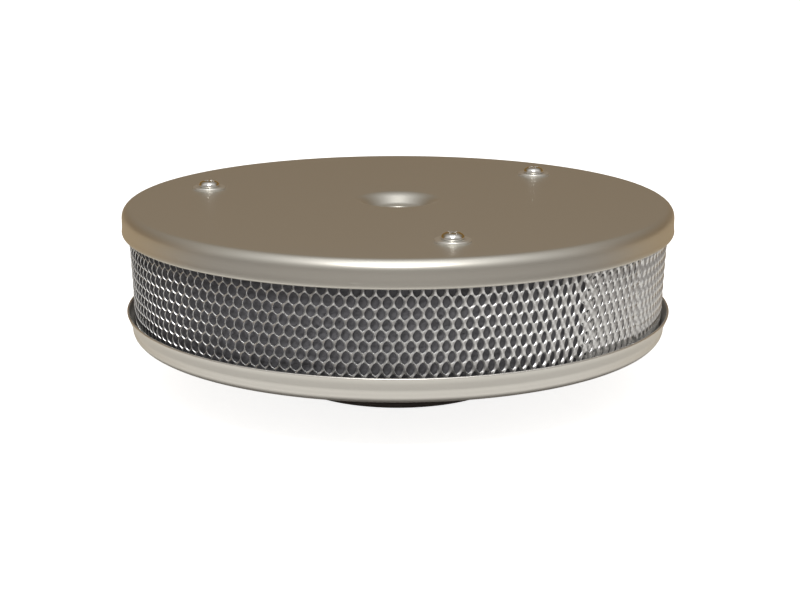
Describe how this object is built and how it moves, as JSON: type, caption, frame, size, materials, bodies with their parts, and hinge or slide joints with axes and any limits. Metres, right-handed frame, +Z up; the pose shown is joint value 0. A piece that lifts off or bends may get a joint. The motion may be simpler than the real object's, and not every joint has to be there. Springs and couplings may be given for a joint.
{
  "type": "air filter housing",
  "caption": "Round pancake air cleaner for a small carburettor: pressed steel cover on screws, filter ring behind an expanded metal screen, flared base pan and rubber neck.",
  "frame": {"origin": "centre of the neck's open lower end", "axes": "+Z up through the neck to the cover, which is the axis of every round part; +X to the right as seen from the front (-Y)"},
  "size_m": [0.146, 0.146, 0.051],
  "materials": {
    "cover_steel": "bright rolled sheet, lightly brushed",
    "pan_steel": "bright rolled sheet",
    "screen_steel": "raw expanded metal",
    "tinplate": "dull tinned sheet",
    "screw_steel": "bright plated",
    "washer_steel": "plated",
    "pillar_steel": "turned, plated",
    "spigot_steel": "pressed sheet",
    "seal_rubber": "soft matt",
    "sleeve_rubber": "moulded matt",
    "filter_foam": "open-cell foam, dark grey"
  },
  "bodies": {
    "base": {"base_pan": "pan_steel", "neck_spigot": "spigot_steel", "neck_sleeve": "sleeve_rubber", "pillar_1": "pillar_steel", "pillar_2": "pillar_steel", "pillar_3": "pillar_steel"},
    "filter_ring": {"bottom_seal": "seal_rubber", "bottom_end_ring": "tinplate", "outer_screen": "screen_steel", "filter_foam": "filter_foam", "inner_screen": "tinplate", "top_end_ring": "tinplate", "top_seal": "seal_rubber"},
    "cover": {"cover": "cover_steel"},
    "washer_1": {"screw_washer_1": "washer_steel"},
    "screw_1": {"cover_screw_1": "screw_steel"},
    "washer_2": {"screw_washer_2": "washer_steel"},
    "screw_2": {"cover_screw_2": "screw_steel"},
    "washer_3": {"screw_washer_3": "washer_steel"},
    "screw_3": {"cover_screw_3": "screw_steel"}
  },
  "joints": [
    {"name": "filter_lift", "type": "slide", "parent": "base", "child": "filter_ring", "axis": [0, 0, 1], "range_m": [0, 0.055]},
    {"name": "cover_lift", "type": "slide", "parent": "filter_ring", "child": "cover", "axis": [0, 0, 1], "range_m": [0, 0.055]},
    {"name": "screw_1_rise", "type": "slide", "parent": "cover", "child": "washer_1", "axis": [0, 0, 1], "range_m": [0, 0.0065]},
    {"name": "screw_1_turn", "type": "hinge", "parent": "washer_1", "child": "screw_1", "pos_m": [0.03926, 0.03751, 0.0494], "axis": [0, 0, 1], "range_deg": [0, 4680]},
    {"name": "screw_2_rise", "type": "slide", "parent": "cover", "child": "washer_2", "axis": [0, 0, 1], "range_m": [0, 0.0065]},
    {"name": "screw_2_turn", "type": "hinge", "parent": "washer_2", "child": "screw_2", "pos_m": [-0.05212, 0.01524, 0.0494], "axis": [0, 0, 1], "range_deg": [0, 4680]},
    {"name": "screw_3_rise", "type": "slide", "parent": "cover", "child": "washer_3", "axis": [0, 0, 1], "range_m": [0, 0.0065]},
    {"name": "screw_3_turn", "type": "hinge", "parent": "washer_3", "child": "screw_3", "pos_m": [0.01286, -0.05276, 0.0494], "axis": [0, 0, 1], "range_deg": [0, 4680]}
  ],
  "couplings": [
    {"joint": "screw_1_turn", "follows": "screw_1_rise", "rad_per_m": 12566},
    {"joint": "screw_2_turn", "follows": "screw_2_rise", "rad_per_m": 12566},
    {"joint": "screw_3_turn", "follows": "screw_3_rise", "rad_per_m": 12566}
  ]
}
